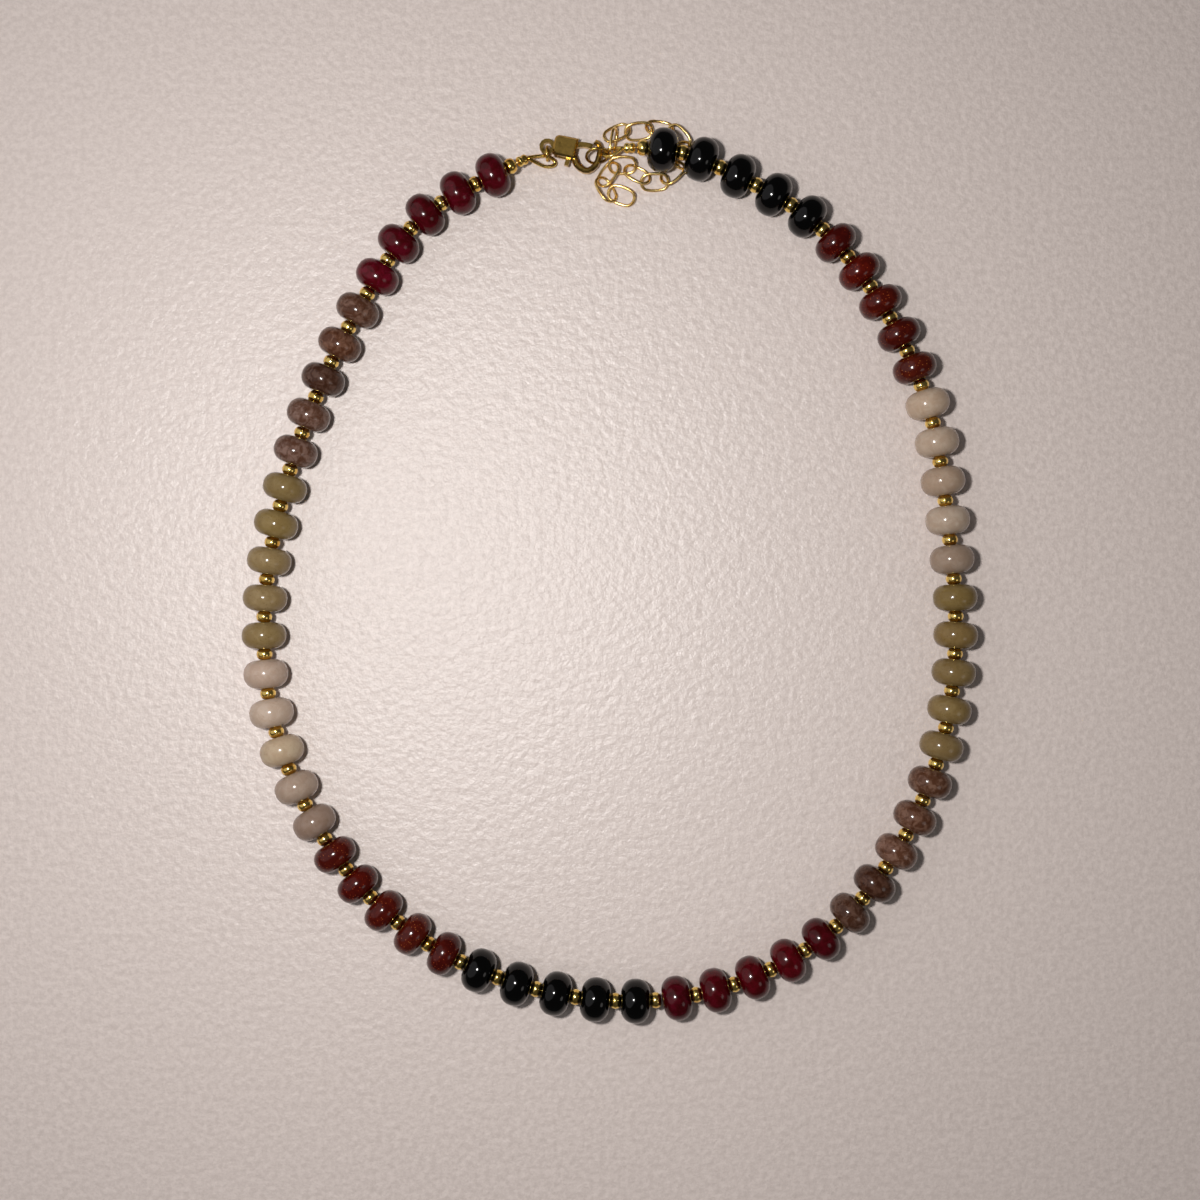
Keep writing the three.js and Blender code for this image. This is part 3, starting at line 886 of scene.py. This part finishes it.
@dataclass
class Ends:
    """What joins the string's ends: crimps, wire loops, jump rings and the clasp."""

    route: Route
    string: BeadString
    workshop: Workshop

    def clasp_point(self, along: float, across: float, height: float) -> Vector:
        """A place in the clasp's own axes as a place on the surface, in millimetres."""
        heading = math.radians(CLASP_HEADING_DEG)
        x = CLASP_PLACE[0] + along * math.cos(heading) - across * math.sin(heading)
        y = CLASP_PLACE[1] + along * math.sin(heading) + across * math.cos(heading)
        return Vector((x, y, height))

    def crimp(self) -> bmesh.types.BMesh:
        """One crimp, a short tube pressed in the middle, along X from its string end."""
        return Bench.turned(CRIMP_PROFILE, CRIMP_SIDES)

    def end_frame(self, way: float, outward: int) -> tuple[Vector, Vector, float]:
        """Where a crimp starts and how it points.

        Args:
            way: The way along the line of the string's end.
            outward: 1 where the string ends and -1 where it starts.

        Returns:
            Its start, its direction and its heading.
        """
        place, along = self.route.frame_at(way)
        heading = math.atan2(along.y * outward, along.x * outward)
        slope = math.radians(CRIMP_SLOPE_DEG)
        direction = Vector((math.cos(heading) * math.cos(slope),
                            math.sin(heading) * math.cos(slope), -math.sin(slope)))
        room = CRIMP_WAIST_DIAMETER / 2 * math.sin(slope)
        return place + direction * (SEAT_GAP + room), direction, heading

    def build_end(self, side: str, way: float, outward: int, loop_end: Vector,
                  roll_deg: float) -> None:
        """Builds a crimp and the wire loop that it holds.

        Args:
            side: left or right.
            way: The way along the line of the string's end.
            outward: 1 where the string ends and -1 where it starts.
            loop_end: Where the loop reaches to, in millimetres.
            roll_deg: How far the loop rolls.
        """
        start, direction, heading = self.end_frame(way, outward)
        crimp = self.crimp()
        turn = Euler((0, math.radians(CRIMP_SLOPE_DEG), heading), "XYZ").to_matrix().to_4x4()
        matrix = Matrix.Translation(start * MM) @ turn @ Matrix.Scale(MM, 4)
        bmesh.ops.transform(crimp, matrix=matrix, verts=crimp.verts)
        Bench.finish(crimp, "crimp_tube_" + side, self.workshop.gold(BEAD_GOLD), "gold",
                     NECKLACE_BODY, ["crimp_" + side])
        neck = start + direction * (CRIMP_LENGTH + SEAT_GAP + LOOP_WIRE / 2)
        run = loop_end - neck
        work = WireWork("guarded_loop_" + side, GUARDED_WIRE, self.workshop.gold(BEAD_GOLD),
                        ["wire_loop_" + side], GUARDED_POINTS, GUARD_RIB_DEPTH)
        outline = teardrop(run.length, LOOP_WIDTH - LOOP_WIRE, LOOP_NECK_WIDTH - LOOP_WIRE)
        work.add_loop(outline, neck, math.atan2(run.y, run.x), -math.asin(run.z / run.length),
                      math.radians(roll_deg))
        work.build()
        end_face = self.route.frame_at(way)[0]
        self.build_lead(side, end_face - direction * END_WIRE_SINK,
                        neck + direction * END_WIRE_OVERLAP)

    def build_lead(self, side: str, start: Vector, end: Vector) -> None:
        """Builds the short wire that runs from the last bead through the crimp to the loop."""
        mesh = bmesh.new()
        run = end - start
        radius = END_WIRE_DIAMETER / 2
        bmesh.ops.create_cone(mesh, cap_ends=True, segments=END_WIRE_SIDES, radius1=radius,
                              radius2=radius, depth=run.length)
        turn = run.to_track_quat("Z", "Y").to_matrix().to_4x4()
        matrix = Matrix.Translation((start + run / 2) * MM) @ turn @ Matrix.Scale(MM, 4)
        bmesh.ops.transform(mesh, matrix=matrix, verts=mesh.verts)
        Bench.finish(mesh, "end_wire_" + side, self.workshop.gold(THREAD_GOLD), "gold",
                     NECKLACE_BODY, [])

    def build_rings(self) -> Vector:
        """Builds both jump rings and returns where the right wire loop reaches to."""
        heading = math.radians(CLASP_HEADING_DEG)
        lean = math.radians(RIGHT_RING_LEAN_DEG)
        radius = (RIGHT_RING_DIAMETER - RING_WIRE) / 2
        place = self.clasp_point(*RIGHT_RING_PLACE, radius * math.sin(lean) + RING_WIRE / 2)
        ring_heading = heading + math.radians(RIGHT_RING_TURN_DEG)
        right = WireWork("jump_ring_right", RING_WIRE, self.workshop.gold(CLASP_GOLD),
                         ["ring_right"], RING_POINTS)
        right.add_loop(oval(2 * radius, 2 * radius), place, ring_heading, 0, lean)
        right.build()
        left_radius = (LEFT_RING_DIAMETER - RING_WIRE) / 2
        left_place = self.clasp_point(*EYE_MIDDLE, 0) + Vector((0, -left_radius, 0))
        left_place.z = left_radius + RING_WIRE / 2
        left = WireWork("jump_ring_left", RING_WIRE, self.workshop.gold(BEAD_GOLD),
                        ["ring_left"], RING_POINTS)
        left.add_loop(oval(2 * left_radius, 2 * left_radius), left_place,
                      math.radians(-90), 0, math.radians(90))
        left.build()
        reach = radius - (RING_WIRE + LOOP_WIRE) / 2 - SEAT_GAP
        return place + Vector((math.cos(ring_heading), math.sin(ring_heading), 0)) * reach

    def dress_clasp(self) -> None:
        """Gives the clasp's solids soft edges and their gold."""
        material = self.workshop.gold(CLASP_GOLD)
        for name in ("clasp_body", "clasp_lever"):
            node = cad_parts[name]
            node.data.materials.clear()
            node.data.materials.append(material)
            node.data.polygons.foreach_set("use_smooth", [True] * len(node.data.polygons))
            edge = node.modifiers.new("soft_edges", "BEVEL")
            edge.width = CLASP_EDGE * MM
            edge.segments = CLASP_EDGE_SEGMENTS
            edge.harden_normals = True
            edge.limit_method = "ANGLE"
            edge.angle_limit = math.radians(CLASP_EDGE_ANGLE_DEG)
            LOG.info("dressed %s", name)

    def build(self) -> None:
        """Builds everything between the string's ends."""
        right_end = self.build_rings()
        self.build_end("left", 0.0, -1, Vector(LEFT_LOOP_END), 0)
        self.build_end("right", self.string.length, 1, right_end, RIGHT_LOOP_ROLL_DEG)
        self.dress_clasp()


@dataclass
class ExtenderChain:
    """The oval links that trail round the last stone."""

    workshop: Workshop

    def build(self) -> None:
        """Builds the links, each threaded through the next."""
        nodes = [f"extender_link_{index + 1:02d}" for index in range(len(CHAIN_LINKS))]
        work = WireWork("extender_chain", LINK_WIRE_SHOWN, self.workshop.gold(WIRE_GOLD), nodes)
        outline = oval(LINK_LENGTH - LINK_WIRE, LINK_WIDTH - LINK_WIRE)
        for index, (x, y, roll_deg) in enumerate(CHAIN_LINKS):
            before = CHAIN_LINKS[index - 1] if index else CHAIN_START
            after = CHAIN_LINKS[min(index + 1, len(CHAIN_LINKS) - 1)]
            heading = math.atan2(after[1] - before[1], after[0] - before[0])
            roll = math.radians(roll_deg)
            height = (LINK_WIDTH - LINK_WIRE) / 2 * abs(math.sin(roll)) + LINK_WIRE / 2
            work.add_loop(outline, Vector((x, y, height)), heading, 0, roll)
        work.build()


@dataclass
class Studio:
    """The floor, the lights and the camera above the necklace."""

    workshop: Workshop
    camera_place: tuple[float, float, float] = (-0.0021, -0.0053, 0.304)
    view_width: float = 0.218
    view_distance: float = 0.3
    sensor_width: float = 36.0
    nearest_view: float = 0.01
    floor_size: float = 3.0
    floor_drop: float = 0.00005

    def build_floor(self) -> None:
        """Lays the plain pale floor at the necklace's foot."""
        mesh = bmesh.new()
        bmesh.ops.create_grid(mesh, x_segments=1, y_segments=1, size=self.floor_size / 2)
        data = bpy.data.meshes.new("floor")
        mesh.to_mesh(data)
        mesh.free()
        floor = bpy.data.objects.new("floor", data)
        bpy.context.scene.collection.objects.link(floor)
        floor.location.z = -self.floor_drop
        data.materials.append(self.workshop.floor(PALE_SURFACE))

    def light(self, lamp: Lamp) -> None:
        """Adds one lamp, turned towards the necklace."""
        data = bpy.data.lights.new(lamp.name, "AREA")
        data.shape = "DISK"
        data.size = lamp.width
        data.energy = lamp.power
        data.color = lamp.colour
        stand = bpy.data.objects.new(lamp.name, data)
        stand.location = lamp.place
        stand.rotation_euler = (-Vector(lamp.place)).to_track_quat("-Z", "Y").to_euler()
        bpy.context.scene.collection.objects.link(stand)

    def build_lights(self) -> None:
        """Sets the lamps and the even surroundings."""
        for lamp in LAMPS:
            self.light(lamp)
        world = bpy.data.worlds.new("surroundings")
        world.use_nodes = True
        background = world.node_tree.nodes["Background"]
        background.inputs["Color"].default_value = SURROUNDINGS_COLOUR
        background.inputs["Strength"].default_value = SURROUNDINGS_STRENGTH
        bpy.context.scene.world = world

    def build_camera(self) -> None:
        """Sets the camera straight above, as wide as the photograph."""
        data = bpy.data.cameras.new("camera")
        data.sensor_width = self.sensor_width
        data.lens = self.sensor_width * self.view_distance / self.view_width
        data.clip_start = self.nearest_view
        camera = bpy.data.objects.new("camera", data)
        camera.location = self.camera_place
        bpy.context.scene.collection.objects.link(camera)
        bpy.context.scene.camera = camera

    def build(self) -> None:
        """Builds the whole studio."""
        self.build_camera()
        self.build_floor()
        self.build_lights()
        bpy.context.scene.view_settings.view_transform = "Standard"


def main() -> None:
    """Builds the necklace and its studio, in order."""
    logging.basicConfig(level=logging.INFO, format="%(name)s %(message)s")
    workshop = Workshop()
    route = Route(STRING_ROUTE, STONE_DIAMETER / 2)
    Studio(workshop).build()
    string = BeadString(route, workshop)
    string.build()
    Ends(route, string, workshop).build()
    ExtenderChain(workshop).build()


if __name__ == "__main__":
    main()
